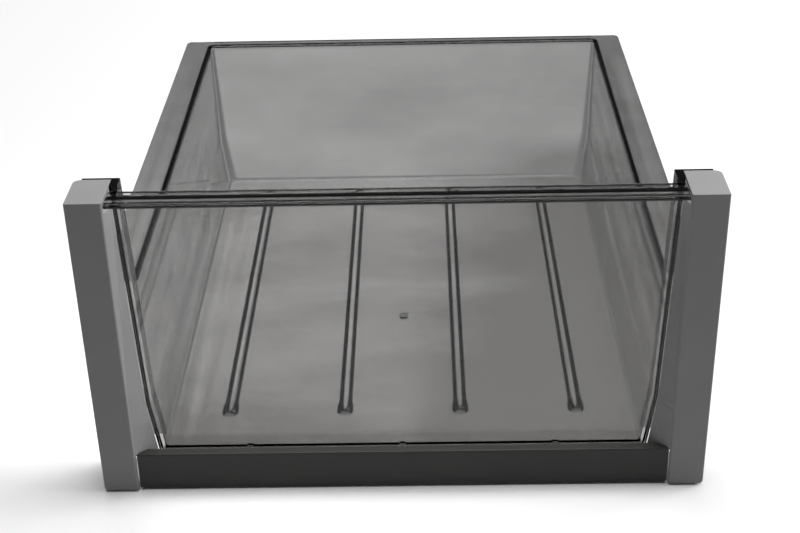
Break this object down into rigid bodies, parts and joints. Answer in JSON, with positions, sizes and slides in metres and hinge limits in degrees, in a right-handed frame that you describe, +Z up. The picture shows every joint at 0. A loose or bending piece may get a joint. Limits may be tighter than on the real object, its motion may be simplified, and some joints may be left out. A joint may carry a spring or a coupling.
{
  "type": "freezer drawer",
  "caption": "Smoked clear freezer drawer with a flanged tub, a recessed see-through front under a grip lip, grey end caps and a dark bottom trim",
  "frame": {"origin": "centre of the bounding box in plan, at the feet of the end caps", "axes": "+X to the right seen from the front, +Y from the front panel to the back of the tub, +Z up"},
  "size_m": [0.4, 0.457, 0.215],
  "materials": {
    "smoked_clear": "polished smoked clear polystyrene",
    "silver_grey": "satin silver grey moulding",
    "dark_grey": "satin dark grey moulding"
  },
  "bodies": {
    "root": {"drawer_tub": "smoked_clear", "front_panel": "smoked_clear", "left_end_cap": "silver_grey", "right_end_cap": "silver_grey", "bottom_trim": "dark_grey"}
  },
  "joints": []
}
